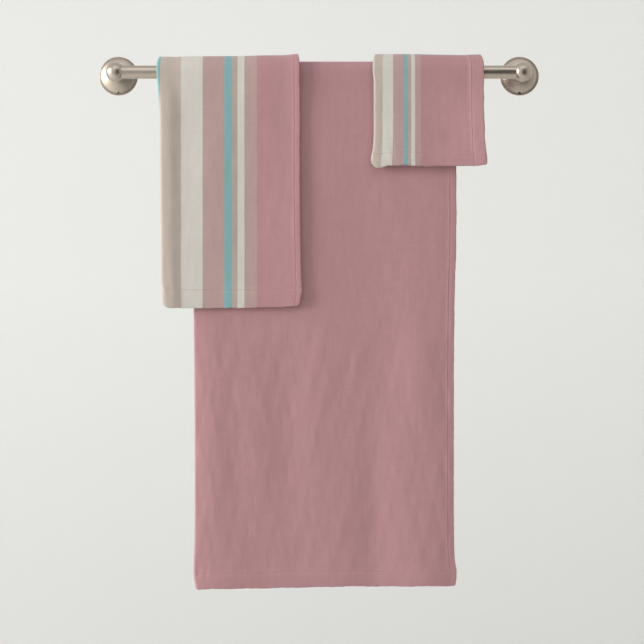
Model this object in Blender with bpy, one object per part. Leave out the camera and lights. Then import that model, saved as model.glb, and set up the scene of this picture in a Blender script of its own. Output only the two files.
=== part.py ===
"""Bath towel set: a bath towel, a hand towel and a washcloth, folded lengthwise and hung on a wall rail.

Metres, +Z up. The origin is on the wall, midway between the two posts and at the height of the bar.
The wall is the plane y = 0, the room is towards -Y, and +X is to the right as seen from the room.
Each towel is a double layer of cloth: its lengthwise fold is at the left, and its hemmed long edges
meet at the right.
"""

import math
from typing import NamedTuple

import bmesh
import bpy
from mathutils import Matrix, Vector

MM = 0.001
GAP = 0.3 * MM  # left between pieces that touch

# The rail
POST_SPACING = 600 * MM  # centre to centre
STANDOFF = 70 * MM  # from the wall to the bar's axis
BAR_RADIUS = 9.75 * MM
BAR_WALL = 1.2 * MM
BALL_RADIUS = 14.2 * MM
SOCKET_PAST_CENTRE = 3 * MM  # how far the bar's socket goes past the ball's centre
NECK_RADIUS = 7.6 * MM  # at its waist
NECK_TOP_RADIUS = 8.8 * MM  # where it runs into the ball
COLLAR_RADIUS = 10.5 * MM
COLLAR_HEIGHT = 1.9 * MM
COLLAR_EDGE = 0.5 * MM  # its bevel
SPIGOT_RADIUS = 6 * MM
SPIGOT_SHORT = 0.4 * MM  # how far the spigot stops short of the flange's inner face

# The flange, a hollow dome whose rim steps down in two rings
FLANGE_RADIUS = 29 * MM
RIM_HEIGHT = 1.6 * MM
RING_STEP = 1.6 * MM  # each ring is this much smaller and higher than the one outside it
DOME_RADIUS = 25.4 * MM
DOME_BASE = 5.4 * MM  # how high the dome begins
DOME_TOP = 13.3 * MM  # the flat that the post's collar stands on
DOME_FLAT_RADIUS = 11 * MM
FLANGE_WALL = 2.2 * MM
CAVITY_RADIUS = 24.1 * MM  # of the hollow, where it opens at the wall

# The wall bracket inside the flange, and the fasteners
BRACKET_RADIUS = 17 * MM
BRACKET_PLATE = 3 * MM
BRACKET_RIM_WIDTH = 2.2 * MM
BRACKET_RIM_HEIGHT = 6.5 * MM  # from the wall, so that the set screw meets it
WALL_SCREW_OFFSET = 10 * MM  # above and below the bar's axis
WALL_SCREW_RADIUS = 1.75 * MM
WALL_SCREW_HEAD = (3.4 * MM, 2.2 * MM)  # radius, height
WALL_SCREW_DEPTH = 26 * MM  # how far it reaches into the wall
PLUG_RADIUS = 3 * MM
PLUG_LIP_RADIUS = 4 * MM
PLUG_LENGTH = 30 * MM
POST_SCREW_RADIUS = 2.4 * MM
POST_SCREW_HEAD = (4.6 * MM, 2.7 * MM)
POST_SCREW_LENGTH = 14 * MM
WASHER = (8.6 * MM, 1.2 * MM)
SET_SCREW_RADIUS = 2 * MM
SET_SCREW_DEPTH = 4.4 * MM  # of its axis, out from the wall
SET_SCREW_SUNK = 3.2 * MM  # how far it sits inside the rim
SET_SCREW_BOSS_RADIUS = 3.4 * MM
SET_SCREW_BOSS_END = 18.3 * MM  # how near the boss comes to the flange's axis

# Cloth
HEM_PROUD = 0.5 * MM  # how far a hem stands out of the leaf beside it, front and back
LEAF_EDGE = 1.2 * MM  # how far the edges of a leaf are rounded
END_EDGE = 1.6 * MM  # and those of an end hem, which turns over
SADDLE_SEGMENTS = 24
ROUND_TOP_SEGMENTS = 8

ROUND = 32  # sides of the rail's large turned shapes
ROUND_SMALL = 12  # sides of the fasteners
BALL_SEGMENTS = 10  # from the neck round to the front of the ball
DOME_SEGMENTS = 6
SHARP_ANGLE = math.radians(35)  # a sharper edge than this stays a crease
PAST = 1 * MM  # how far a cutter goes past the face it opens
MERGE = 0.001 * MM  # points nearer than this become one
START_TURN = math.radians(100)  # shared out over a turned shape's sides
BAR_AXIS = Vector((0, -STANDOFF, 0))


class Towel(NamedTuple):
    """A folded towel on the bar. Drops are measured down from the bar's axis."""

    name: str
    left: float  # x of the fold
    width: float  # of the folded towel, half the flat width
    inner: float  # radius of its underside over the bar
    outer: float  # radius of its top over the bar
    front_drop: float
    back_drop: float
    side_hem: float
    end_hem: float
    front_lifts: bool  # whether the front leaf can be lifted by itself
    material: str


TOWELS = (
    Towel("bath_towel", -182 * MM, 381 * MM, 10.5 * MM, 16.1 * MM, 757 * MM, 727 * MM,
          10 * MM, 23 * MM, False, "rose_cloth"),
    Towel("hand_towel", -232 * MM, 203.5 * MM, 18.2 * MM, 24.8 * MM, 346 * MM, 338 * MM,
          9 * MM, 27 * MM, True, "striped_cloth"),
    Towel("washcloth", 80.5 * MM, 163.5 * MM, 20 * MM, 27 * MM, 138.5 * MM, 124 * MM,
          19 * MM, 20 * MM, True, "striped_cloth"),
)

# Name: colour, metallic, roughness
FINISHES = {
    "brushed_nickel": ((0.52, 0.46, 0.39), 1.0, 0.32),
    "zinc": ((0.42, 0.43, 0.44), 1.0, 0.5),
    "screw_steel": ((0.25, 0.24, 0.23), 1.0, 0.45),
    "plug_plastic": ((0.62, 0.62, 0.60), 0.0, 0.6),
    "rose_cloth": ((0.42, 0.22, 0.23), 0.0, 0.9),
    "striped_cloth": ((0.52, 0.44, 0.39), 0.0, 0.9),
    "hem_cloth": ((0.46, 0.25, 0.26), 0.0, 0.9),
}


def clear_scene():
    for obj in list(bpy.data.objects):
        bpy.data.objects.remove(obj)


def make_materials():
    made = {}
    for name, (colour, metallic, roughness) in FINISHES.items():
        material = bpy.data.materials.new(name)
        material.use_nodes = True
        shader = material.node_tree.nodes["Principled BSDF"]
        shader.inputs["Base Color"].default_value = (*colour, 1)
        shader.inputs["Metallic"].default_value = metallic
        shader.inputs["Roughness"].default_value = roughness
        material.diffuse_color = (*colour, 1)
        made[name] = material
    return made


def add_empty(name, location):
    """A joint's frame: what moves is parented to it."""
    empty = bpy.data.objects.new(name, None)
    empty.location = location
    bpy.context.scene.collection.objects.link(empty)
    return empty


def add_object(name, bm, material, location=(0, 0, 0), parent=None, smooth=False):
    """Turns a bmesh in world coordinates into an object whose origin is at location."""
    bmesh.ops.recalc_face_normals(bm, faces=bm.faces)
    bmesh.ops.translate(bm, verts=bm.verts, vec=-Vector(location))
    mesh = bpy.data.meshes.new(name)
    bm.to_mesh(mesh)
    bm.free()
    if smooth:
        mesh.shade_smooth()
        mesh.set_sharp_from_angle(angle=SHARP_ANGLE)
    if material:
        mesh.materials.append(material)
    obj = bpy.data.objects.new(name, mesh)
    bpy.context.scene.collection.objects.link(obj)
    if parent:
        obj.parent = parent
        obj.location = Vector(location) - parent.location
    else:
        obj.location = location
    return obj


def cut(obj, cutters, solver="EXACT"):
    """Subtracts each cutter, which the build leaves out."""
    for cutter in cutters:
        cutter.hide_render = True
        cutter.display_type = "WIRE"
        modifier = obj.modifiers.new("cut", "BOOLEAN")
        modifier.operation = "DIFFERENCE"
        modifier.solver = solver
        modifier.object = cutter


def arc(centre, radius, start, end, steps):
    """Points on a circle from one angle to another, both in degrees."""
    points = []
    for i in range(steps + 1):
        angle = math.radians(start + (end - start) * i / steps)
        points.append((centre[0] + radius * math.cos(angle), centre[1] + radius * math.sin(angle)))
    return points


def turned(profile, axis_point, axis, sides):
    """A closed outline of (radius, height) points, turned about an axis through axis_point.

    It starts a little to one side, so that no edge of a cutter lies along an edge of what it cuts.
    """
    bm = bmesh.new()
    axis = Vector(axis)
    sideways = Matrix.Rotation(START_TURN / sides, 3, axis) @ axis.orthogonal().normalized()
    origin = Vector(axis_point)
    ring = [bm.verts.new(origin + sideways * r + axis * h) for r, h in profile]
    edges = []
    for i, vert in enumerate(ring):
        following = ring[(i + 1) % len(ring)]
        on_axis = profile[i][0] == 0 and profile[(i + 1) % len(ring)][0] == 0
        if not on_axis:
            edges.append(bm.edges.new((vert, following)))
    bmesh.ops.spin(bm, geom=ring + edges, cent=origin, axis=axis, dvec=(0, 0, 0),
                   angle=math.tau, steps=sides, use_merge=True)
    bmesh.ops.remove_doubles(bm, verts=bm.verts, dist=MERGE)
    return bm


def extruded(outline, x_low, x_high):
    """A closed outline of (y, z) points carried from one x to another."""
    bm = bmesh.new()
    face = bm.faces.new([bm.verts.new((x_low, y, z)) for y, z in outline])
    top = bmesh.ops.extrude_face_region(bm, geom=[face])
    moved = [part for part in top["geom"] if isinstance(part, bmesh.types.BMVert)]
    bmesh.ops.translate(bm, verts=moved, vec=(x_high - x_low, 0, 0))
    return bm


# ---- The rail -------------------------------------------------------------------------------


def dome_centre(radius_at_base):
    """Height of the centre of the sphere that the dome is part of, and the sphere's radius."""
    rise = DOME_TOP - DOME_BASE
    spread = radius_at_base**2 - DOME_FLAT_RADIUS**2
    centre = DOME_BASE + (rise**2 - spread) / (2 * rise)
    return centre, math.hypot(radius_at_base, DOME_BASE - centre)


def dome_arc(radius, centre, low_radius, high_radius, steps):
    start = math.degrees(math.acos(low_radius / radius))
    end = math.degrees(math.acos(high_radius / radius))
    return arc((0, centre), radius, start, end, steps)


def flange_outline():
    """The outside of the flange down to its axis: rim, two rings, dome and flat top."""
    centre, radius = dome_centre(DOME_RADIUS)
    points = [(0, 0), (FLANGE_RADIUS, 0), (FLANGE_RADIUS, RIM_HEIGHT)]
    rounded_step = ((0.7, 0.35), (0.1, 0.45), (0, 1))  # shares of the step, inwards and up
    for ring in (1, 2):
        inner = FLANGE_RADIUS - ring * RING_STEP
        height = RIM_HEIGHT + (ring - 1) * RING_STEP
        points += [(inner + across * RING_STEP, height + up * RING_STEP)
                   for across, up in rounded_step]
    points += dome_arc(radius, centre, DOME_RADIUS, DOME_FLAT_RADIUS, DOME_SEGMENTS)
    points += [(0, DOME_TOP)]
    return points


def flange_cavity_outline():
    """The hollow behind the dome, open at the wall."""
    centre, radius = dome_centre(DOME_RADIUS)
    inside = radius - FLANGE_WALL
    top = DOME_TOP - FLANGE_WALL
    flat = math.sqrt(inside**2 - (top - centre) ** 2)
    dome = dome_arc(inside, centre, CAVITY_RADIUS, flat, DOME_SEGMENTS - 1)
    return [(0, -PAST), (CAVITY_RADIUS, -PAST)] + dome + [(0, top)]


def add_flange(side, x, material):
    """The domed flange, with a boss inside its lower edge for the set screw."""
    place = (x, 0, 0)
    outward = (0, -1, 0)
    flange = add_object(f"{side}_flange", turned(flange_outline(), place, outward, ROUND),
                        material, place, smooth=True)
    cavity = add_object(f"{side}_flange_cavity",
                        turned(flange_cavity_outline(), place, outward, ROUND), None, place)
    screw_line = (x, -SET_SCREW_DEPTH, 0)
    boss_outline = [(0, SET_SCREW_BOSS_END), (SET_SCREW_BOSS_RADIUS, SET_SCREW_BOSS_END),
                    (SET_SCREW_BOSS_RADIUS, FLANGE_RADIUS), (0, FLANGE_RADIUS)]
    boss = add_object(f"{side}_flange_boss",
                      turned(boss_outline, screw_line, (0, 0, -1), ROUND_SMALL), None, place)
    cut(cavity, [boss])
    hole_radius = SET_SCREW_RADIUS + GAP
    hole_outline = [(0, SET_SCREW_BOSS_END - PAST), (hole_radius, SET_SCREW_BOSS_END - PAST),
                    (hole_radius, FLANGE_RADIUS + PAST), (0, FLANGE_RADIUS + PAST)]
    screw_hole = add_object(f"{side}_flange_screw_hole",
                            turned(hole_outline, screw_line, (0, 0, -1), ROUND_SMALL), None, place)
    spigot_hole_radius = SPIGOT_RADIUS + GAP
    spigot_outline = [(0, PAST), (spigot_hole_radius, PAST),
                      (spigot_hole_radius, DOME_TOP + PAST), (0, DOME_TOP + PAST)]
    spigot_hole = add_object(f"{side}_flange_spigot_hole",
                             turned(spigot_outline, place, outward, ROUND_SMALL), None, place)
    cut(flange, [cavity, screw_hole, spigot_hole], solver="MANIFOLD")  # EXACT leaves it open


def post_outline():
    """Half of the post from its screwed end out to the front of the ball."""
    spigot_end = DOME_TOP - FLANGE_WALL + SPIGOT_SHORT
    collar_base = DOME_TOP + GAP
    collar_top = collar_base + COLLAR_HEIGHT
    neck_end = STANDOFF - math.sqrt(BALL_RADIUS**2 - NECK_TOP_RADIUS**2)
    waist = 0.5 * (collar_top + neck_end)
    swell = 0.25 * (NECK_TOP_RADIUS - NECK_RADIUS)  # of the neck, on its way to the ball
    outline = [(0, spigot_end), (SPIGOT_RADIUS, spigot_end), (SPIGOT_RADIUS, collar_base),
               (COLLAR_RADIUS, collar_base), (COLLAR_RADIUS, collar_top - COLLAR_EDGE),
               (COLLAR_RADIUS - COLLAR_EDGE, collar_top), (NECK_TOP_RADIUS, collar_top),
               (NECK_RADIUS + swell, collar_top + 2 * COLLAR_EDGE), (NECK_RADIUS, waist),
               (NECK_RADIUS + swell, waist + 0.6 * (neck_end - waist))]
    start = math.degrees(math.asin(NECK_TOP_RADIUS / BALL_RADIUS))
    ball = arc((0, 0), BALL_RADIUS, 180 - start, 0, BALL_SEGMENTS)
    return outline + [(abs(sideways) if i < BALL_SEGMENTS else 0, STANDOFF + along)
                      for i, (along, sideways) in enumerate(ball)]


def add_post(side, x, inward, material):
    """The neck and ball head, with a socket for the bar and a hole for the post screw."""
    place = (x, 0, 0)
    post = add_object(f"{side}_post", turned(post_outline(), place, (0, -1, 0), ROUND),
                      material, place, smooth=True)
    ball_centre = Vector((x, 0, 0)) + BAR_AXIS
    socket_radius = BAR_RADIUS + GAP
    socket_outline = [(0, -SOCKET_PAST_CENTRE), (socket_radius, -SOCKET_PAST_CENTRE),
                      (socket_radius, BALL_RADIUS + PAST), (0, BALL_RADIUS + PAST)]
    socket = add_object(f"{side}_post_socket",
                        turned(socket_outline, ball_centre, (inward, 0, 0), ROUND), None, place)
    hole_radius = POST_SCREW_RADIUS + GAP
    hole_start = DOME_TOP - FLANGE_WALL - PAST
    hole_end = DOME_TOP - FLANGE_WALL + POST_SCREW_LENGTH + PAST
    hole_outline = [(0, hole_start), (hole_radius, hole_start), (hole_radius, hole_end),
                    (0, hole_end)]
    screw_hole = add_object(f"{side}_post_screw_hole",
                            turned(hole_outline, place, (0, -1, 0), ROUND_SMALL), None, place)
    cut(post, [socket, screw_hole])


def add_bracket(side, x, material):
    """A dished plate screwed to the wall, whose rim the set screw bears on."""
    place = (x, 0, 0)
    rim_inside = BRACKET_RADIUS - BRACKET_RIM_WIDTH
    outline = [(0, 0), (BRACKET_RADIUS, 0), (BRACKET_RADIUS, BRACKET_RIM_HEIGHT),
               (rim_inside, BRACKET_RIM_HEIGHT), (rim_inside, BRACKET_PLATE), (0, BRACKET_PLATE)]
    bracket = add_object(f"{side}_wall_bracket", turned(outline, place, (0, -1, 0), ROUND),
                         material, place, smooth=True)
    holes = []
    hole_radius = WALL_SCREW_RADIUS + GAP
    for level, sign in (("upper", 1), ("lower", -1)):
        hole_outline = [(0, -PAST), (hole_radius, -PAST), (hole_radius, BRACKET_PLATE + PAST),
                        (0, BRACKET_PLATE + PAST)]
        centre = (x, 0, sign * WALL_SCREW_OFFSET)
        holes.append(add_object(f"{side}_bracket_{level}_hole",
                                turned(hole_outline, centre, (0, -1, 0), ROUND_SMALL), None, place))
    cut(bracket, holes)


def headed_screw(name, head, shank_radius, tip, head_base, axis_point, axis, material):
    """A screw with a rounded, recessed head. Heights are along axis, and the head starts at head_base."""
    head_radius, head_height = head
    top = head_base + head_height
    outline = [(0, tip), (0.4 * shank_radius, tip), (shank_radius, tip + shank_radius),
               (shank_radius, head_base), (head_radius, head_base),
               (head_radius, top - 0.55 * head_height), (0.75 * head_radius, top - 0.1 * head_height),
               (0.45 * head_radius, top), (0.3 * head_radius, top - 0.5 * head_height),
               (0, top - 0.6 * head_height)]
    add_object(name, turned(outline, axis_point, axis, ROUND_SMALL), material, axis_point,
               smooth=True)


def add_wall_fixings(side, x, screw_material, plug_material):
    """Two screws through the bracket, each in a plug in the wall."""
    lip, taper = 0.8 * MM, 0.6 * MM
    for level, sign in (("upper", 1), ("lower", -1)):
        centre = (x, 0, sign * WALL_SCREW_OFFSET)
        headed_screw(f"{side}_{level}_wall_screw", WALL_SCREW_HEAD, WALL_SCREW_RADIUS,
                     -WALL_SCREW_DEPTH, BRACKET_PLATE + GAP, centre, (0, -1, 0), screw_material)
        bore = WALL_SCREW_RADIUS + GAP
        outline = [(bore, GAP), (PLUG_LIP_RADIUS, GAP), (PLUG_LIP_RADIUS, GAP + lip),
                   (PLUG_RADIUS, GAP + lip + taper), (PLUG_RADIUS, 0.8 * PLUG_LENGTH),
                   (0.75 * PLUG_RADIUS, PLUG_LENGTH), (0, PLUG_LENGTH),
                   (0, WALL_SCREW_DEPTH + PAST), (bore, WALL_SCREW_DEPTH + PAST)]
        add_object(f"{side}_{level}_wall_plug", turned(outline, centre, (0, 1, 0), ROUND_SMALL),
                   plug_material, centre, smooth=True)


def add_clamping_fasteners(side, x, screw_material):
    """The washer and screw that hold the flange on the post, and the set screw below."""
    place = (x, 0, 0)
    washer_radius, washer_height = WASHER
    washer_top = DOME_TOP - FLANGE_WALL - GAP
    washer_base = washer_top - washer_height
    bore = POST_SCREW_RADIUS + GAP
    washer_outline = [(bore, washer_base), (washer_radius, washer_base),
                      (washer_radius, washer_top), (bore, washer_top)]
    add_object(f"{side}_post_washer", turned(washer_outline, place, (0, -1, 0), ROUND_SMALL),
               screw_material, place, smooth=True)
    head_base = -(washer_base - GAP)  # heights run towards the wall for this screw
    headed_screw(f"{side}_post_screw", POST_SCREW_HEAD, POST_SCREW_RADIUS,
                 head_base - POST_SCREW_LENGTH, head_base, place, (0, 1, 0), screw_material)
    near, far = BRACKET_RADIUS + GAP, FLANGE_RADIUS - SET_SCREW_SUNK
    half = 0.5 * SET_SCREW_RADIUS  # of its pointed end and of the recess in its outer end
    set_outline = [(0, near), (half, near), (SET_SCREW_RADIUS, near + half),
                   (SET_SCREW_RADIUS, far), (half, far), (half, far - SET_SCREW_RADIUS),
                   (0, far - SET_SCREW_RADIUS)]
    add_object(f"{side}_set_screw",
               turned(set_outline, (x, -SET_SCREW_DEPTH, 0), (0, 0, -1), ROUND_SMALL),
               screw_material, (x, -SET_SCREW_DEPTH, 0), smooth=True)


def add_bar(material):
    """The tube, whose ends stop just short of the bottoms of their sockets."""
    half = 0.5 * POST_SPACING + SOCKET_PAST_CENTRE - GAP
    outline = [(BAR_RADIUS - BAR_WALL, -half), (BAR_RADIUS, -half), (BAR_RADIUS, half),
               (BAR_RADIUS - BAR_WALL, half)]
    add_object("rail_bar", turned(outline, BAR_AXIS, (1, 0, 0), ROUND), material, BAR_AXIS,
               smooth=True)


def add_rail(materials):
    for side, sign in (("left", -1), ("right", 1)):
        x = sign * 0.5 * POST_SPACING
        add_bracket(side, x, materials["zinc"])
        add_wall_fixings(side, x, materials["screw_steel"], materials["plug_plastic"])
        add_flange(side, x, materials["brushed_nickel"])
        add_post(side, x, -sign, materials["brushed_nickel"])
        add_clamping_fasteners(side, x, materials["screw_steel"])
    add_bar(materials["brushed_nickel"])


# ---- The towels -----------------------------------------------------------------------------


def saddle_outline(towel):
    """Half a ring over the bar, cut level with the bar's axis."""
    centre = (-STANDOFF, 0)
    outside = arc(centre, towel.outer, 0, 180, SADDLE_SEGMENTS)
    inside = arc(centre, towel.inner, 180, 0, SADDLE_SEGMENTS)
    return outside + inside


def leaf_outline(middle, thickness, top, bottom):
    return [(middle - thickness / 2, bottom), (middle + thickness / 2, bottom),
            (middle + thickness / 2, top), (middle - thickness / 2, top)]


def lifting_outline(middle, thickness, pivot, bottom):
    """A leaf whose top is rounded about its pivot, so that it turns clear of the saddle."""
    return [(middle - thickness / 2, bottom), (middle + thickness / 2, bottom)] + arc(
        (middle, pivot), thickness / 2, 0, 180, ROUND_TOP_SEGMENTS)


def soften(obj, width):
    """Rounds the long edges of a piece of cloth."""
    bevel = obj.modifiers.new("soft_edges", "BEVEL")
    bevel.width = width
    bevel.segments = 2
    bevel.limit_method = "ANGLE"
    bevel.angle_limit = math.radians(60)


def add_leaf(towel, end, middle, drop, parent, materials, pivot=None):
    """One hanging leaf, cut into its cloth, its side hem at the right and its end hem below."""
    thickness = towel.outer - towel.inner
    hemmed = thickness + 2 * HEM_PROUD
    right = towel.left + towel.width
    hem_line = -drop + towel.end_hem
    side_hem_left = right - towel.side_hem
    pieces = (
        ("", towel.left, side_hem_left - GAP, thickness, towel.material),
        ("_side_hem", side_hem_left, right, hemmed, "hem_cloth"),
    )
    for suffix, x_low, x_high, deep, material in pieces:
        if pivot is None:
            outline = leaf_outline(middle, deep, -GAP, hem_line + GAP)
        else:
            outline = lifting_outline(middle, deep, pivot, hem_line + GAP)
        leaf = add_object(f"{towel.name}_{end}{suffix}", extruded(outline, x_low, x_high),
                          materials[material], parent.location, parent)
        soften(leaf, LEAF_EDGE)
    end_hem = add_object(f"{towel.name}_{end}_end_hem",
                         extruded(leaf_outline(middle, hemmed, hem_line, -drop), towel.left, right),
                         materials["hem_cloth"], parent.location, parent)
    soften(end_hem, END_EDGE)


def lift_pivot(towel):
    """Height of a lifting front leaf's axis: its hem's rounded top just clears the saddle."""
    return -(0.5 * (towel.outer - towel.inner) + HEM_PROUD + GAP)


def add_towel(towel, materials):
    middle_x = towel.left + 0.5 * towel.width
    slider = add_empty(f"{towel.name}_slider", (middle_x, -STANDOFF, 0))
    add_object(f"{towel.name}_saddle",
               extruded(saddle_outline(towel), towel.left, towel.left + towel.width),
               materials[towel.material], slider.location, slider, smooth=True)
    middle_radius = 0.5 * (towel.inner + towel.outer)
    front_y, back_y = -STANDOFF - middle_radius, -STANDOFF + middle_radius
    if towel.front_lifts:
        pivot = lift_pivot(towel)
        lifter = add_empty(f"{towel.name}_lifter", (middle_x, front_y, pivot))
        add_leaf(towel, "front", front_y, towel.front_drop, lifter, materials, pivot)
    else:
        add_leaf(towel, "front", front_y, towel.front_drop, slider, materials)
    add_leaf(towel, "back", back_y, towel.back_drop, slider, materials)


def main():
    clear_scene()
    materials = make_materials()
    add_rail(materials)
    for towel in TOWELS:
        add_towel(towel, materials)


main()
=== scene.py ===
"""The looks of a bath towel set: three towels, each folded once lengthwise, hung over a wall rail.

Metres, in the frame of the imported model: +Z up, the wall at y = 0, the room towards -Y.
"""

import math
from typing import NamedTuple

import bpy
import numpy as np
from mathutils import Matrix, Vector


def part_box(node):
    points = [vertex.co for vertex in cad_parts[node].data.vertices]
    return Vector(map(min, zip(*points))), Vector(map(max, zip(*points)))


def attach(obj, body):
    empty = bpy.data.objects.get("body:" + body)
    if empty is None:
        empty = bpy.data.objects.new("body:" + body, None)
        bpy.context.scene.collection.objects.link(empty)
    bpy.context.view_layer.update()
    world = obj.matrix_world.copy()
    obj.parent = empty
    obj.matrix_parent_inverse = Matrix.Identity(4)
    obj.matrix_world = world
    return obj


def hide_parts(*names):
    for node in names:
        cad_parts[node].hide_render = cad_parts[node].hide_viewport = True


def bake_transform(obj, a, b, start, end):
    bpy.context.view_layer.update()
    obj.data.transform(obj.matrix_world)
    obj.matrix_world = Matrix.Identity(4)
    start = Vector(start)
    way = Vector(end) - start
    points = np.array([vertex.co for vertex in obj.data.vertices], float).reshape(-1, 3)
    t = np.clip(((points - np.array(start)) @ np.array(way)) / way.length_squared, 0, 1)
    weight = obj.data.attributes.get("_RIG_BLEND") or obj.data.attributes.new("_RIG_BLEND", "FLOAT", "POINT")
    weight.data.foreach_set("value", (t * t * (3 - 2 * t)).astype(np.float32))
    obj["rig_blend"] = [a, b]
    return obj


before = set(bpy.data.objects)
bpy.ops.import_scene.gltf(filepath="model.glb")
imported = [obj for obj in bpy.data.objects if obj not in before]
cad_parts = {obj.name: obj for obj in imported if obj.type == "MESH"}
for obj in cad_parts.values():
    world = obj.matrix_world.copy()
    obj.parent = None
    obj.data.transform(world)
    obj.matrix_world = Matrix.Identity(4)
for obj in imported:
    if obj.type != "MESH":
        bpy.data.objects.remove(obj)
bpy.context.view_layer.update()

MM = 0.001


# ---- Small helpers --------------------------------------------------------------------------


def smooth_step(value, start, end):
    """0 before start, 1 after end, and smooth between. Start may be the larger of the two."""
    share = np.clip((value - start) / (end - start), 0, 1)
    return share * share * (3 - 2 * share)


def bell(value, centre, half_width):
    """1 at the centre, falling smoothly to about a third at half_width from it."""
    return np.exp(-(((value - centre) / half_width) ** 2))


def through(points, where):
    """A smooth line through a few (position, value) points, with no overshoot between them.

    It is level before the first point and after the last.
    """
    at, values = np.array(points, float).T
    where = np.clip(where, at[0], at[-1])
    before = np.clip(np.searchsorted(at, where, side="right") - 1, 0, len(at) - 2)
    secants = np.diff(values) / np.diff(at)
    product, total = secants[:-1] * secants[1:], secants[:-1] + secants[1:]
    slopes = np.zeros(len(at))
    slopes[1:-1] = np.where(product > 0, 2 * product / np.where(product > 0, total, 1), 0)
    width = at[before + 1] - at[before]
    share = (where - at[before]) / width
    rest = 1 - share
    return (values[before] * (1 + 2 * share) * rest**2
            + values[before + 1] * (3 - 2 * share) * share**2
            + slopes[before] * width * share * rest**2
            - slopes[before + 1] * width * share**2 * rest)


def ripples(seed, waves, across, along):
    """A smooth uneven field of about unit height, as a function of two coordinates.

    Across and along are the ranges of wavelength, in metres, in the two directions.
    """
    random = np.random.default_rng(seed)
    parts = []
    for _ in range(waves):
        turns = [math.tau / random.uniform(*across), math.tau / random.uniform(*along)]
        parts.append((turns[0], turns[1] * random.choice((-1, 1)), random.uniform(0, math.tau)))
    height = math.sqrt(2 / waves)

    def field(x, z):
        return height * sum(np.sin(a * x + b * z + phase) for a, b, phase in parts)

    return field


def add_object(name, data):
    """Puts a mesh, a camera or a light in the scene."""
    obj = bpy.data.objects.new(name, data)
    bpy.context.scene.collection.objects.link(obj)
    return obj


def tube_faces(rings, sides, first=0):
    """Quads that join rings of vertices, each to the next. Vertices are numbered ring by ring."""
    faces = []
    for ring in range(rings - 1):
        start = first + ring * sides
        end = start + sides
        for side in range(sides):
            following = (side + 1) % sides
            faces.append((start + side, start + following, end + following, end + side))
    return faces


def add_quads(name, vertices, faces, materials, material_index=None):
    """A smooth mesh object from an array of points and one of quads."""
    mesh = bpy.data.meshes.new(name)
    corners = faces.shape[1]
    mesh.vertices.add(len(vertices))
    mesh.vertices.foreach_set("co", np.asarray(vertices, np.float32).ravel())
    mesh.loops.add(faces.size)
    mesh.loops.foreach_set("vertex_index", faces.astype(np.int32).ravel())
    mesh.polygons.add(len(faces))
    mesh.polygons.foreach_set("loop_start", np.arange(len(faces), dtype=np.int32) * corners)
    if material_index is not None:
        mesh.polygons.foreach_set("material_index", material_index.astype(np.int32))
    mesh.update(calc_edges=True)
    mesh.validate()
    mesh.shade_smooth()
    for material in materials:
        mesh.materials.append(material)
    return add_object(name, mesh)


# ---- Materials ------------------------------------------------------------------------------


class Nodes:
    """Adds nodes to a material, one call each."""

    def __init__(self, name):
        self.material = bpy.data.materials.new(name)
        self.material.use_nodes = True
        self.tree = self.material.node_tree
        self.shader = self.tree.nodes["Principled BSDF"]

    def add(self, kind, inputs=None, **settings):
        """A node. Each of its inputs is given as a value or as the socket that it is linked to."""
        node = self.tree.nodes.new(kind)
        for key, value in settings.items():
            setattr(node, key, value)
        for key, value in (inputs or {}).items():
            if isinstance(value, bpy.types.NodeSocket):
                self.tree.links.new(value, node.inputs[key])
            else:
                node.inputs[key].default_value = value
        return node

    def object_place(self):
        """Where a point is on its own object, in metres."""
        return self.add("ShaderNodeTexCoord").outputs["Object"]

    def math(self, operation, first, second=0.0):
        """One operation on two numbers, or on the first alone."""
        return self.add("ShaderNodeMath", {0: first, 1: second}, operation=operation).outputs[0]

    def map(self, value, **limits):
        """The value taken from one range to another, and kept inside it. Unnamed limits are 0 and 1."""
        inputs = {"Value": value}
        for limit, number in limits.items():
            inputs[limit.replace("_", " ").title()] = number
        return self.add("ShaderNodeMapRange", inputs).outputs[0]

    def noise(self, vector, scale, detail=3.0, roughness=0.5):
        """Smooth noise from 0 to 1, with about scale bumps to each unit of the vector."""
        node = self.add("ShaderNodeTexNoise", {"Vector": vector, "Scale": scale, "Detail": detail,
                                               "Roughness": roughness})
        return node.outputs["Fac"]

    def stretched(self, vector, scale):
        """The place times the three numbers of scale, for noise that is longer one way."""
        return self.add("ShaderNodeMapping", {"Vector": vector, "Scale": scale}).outputs[0]

    def tinted(self, colour, by, low, high):
        """The colour made darker and lighter, from low to high times itself, as by goes from 0 to 1."""
        factor = self.map(by, to_min=low, to_max=high)
        if not isinstance(colour, bpy.types.NodeSocket):
            colour = colour[:3]
        return self.add("ShaderNodeVectorMath", {0: colour, 3: factor},
                        operation="SCALE").outputs[0]

    def bump(self, height, distance, strength=1.0):
        """A normal tilted as if the surface rose by distance where the height is 1."""
        inputs = {"Height": height, "Distance": distance, "Strength": strength}
        return self.add("ShaderNodeBump", inputs).outputs[0]

    def finish(self, colour, roughness, normal=None, **uniform):
        """Links what varies, and sets on the shader's own sockets what doesn't."""
        for socket, value in (("Base Color", colour), ("Roughness", roughness), ("Normal", normal)):
            if isinstance(value, bpy.types.NodeSocket):
                self.tree.links.new(value, self.shader.inputs[socket])
            elif value is not None:
                self.shader.inputs[socket].default_value = value
        for socket, value in uniform.items():
            self.shader.inputs[socket.replace("_", " ")].default_value = value
        return self.material


def linear(red, green, blue):
    """An sRGB colour from 0 to 255 as Blender's linear one."""
    channels = []
    for value in (red, green, blue):
        value /= 255
        channels.append(value / 12.92 if value <= 0.04045 else ((value + 0.055) / 1.055) ** 2.4)
    return (*channels, 1.0)


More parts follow.
